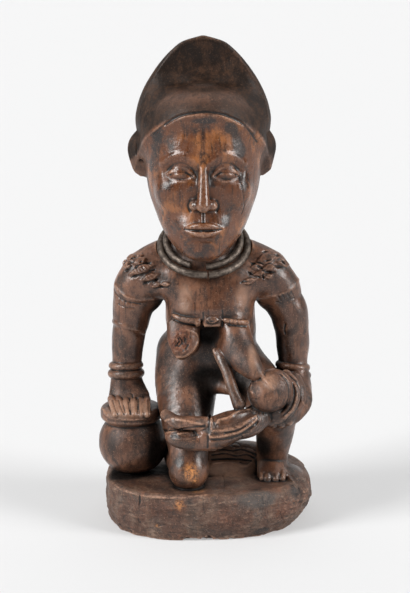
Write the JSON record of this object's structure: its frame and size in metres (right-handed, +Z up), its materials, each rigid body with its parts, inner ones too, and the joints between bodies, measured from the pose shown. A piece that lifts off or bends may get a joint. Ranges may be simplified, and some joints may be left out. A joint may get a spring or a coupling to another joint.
{
  "type": "carved wooden maternity figure",
  "caption": "Carved wooden figure of a half-kneeling woman in a tall pointed headdress, a child across her lap and a hand on a lidded pot, on a thick rounded base, with loose metal neck rings",
  "frame": {"origin": "middle of the flat underside of the base", "axes": "+Z is up, the figure faces -Y, +X is to the right of someone looking at its front"},
  "size_m": [0.201, 0.1532, 0.45],
  "materials": {
    "carved_wood": "old dark brown patina, rubbed glossy on the high places, dusty on the base",
    "ring_metal": "dull grey-brown patina on round rod"
  },
  "bodies": {
    "root": {"maternity_figure": "carved_wood", "neck_ring_upper": "ring_metal", "neck_ring_lower": "ring_metal"}
  },
  "joints": []
}
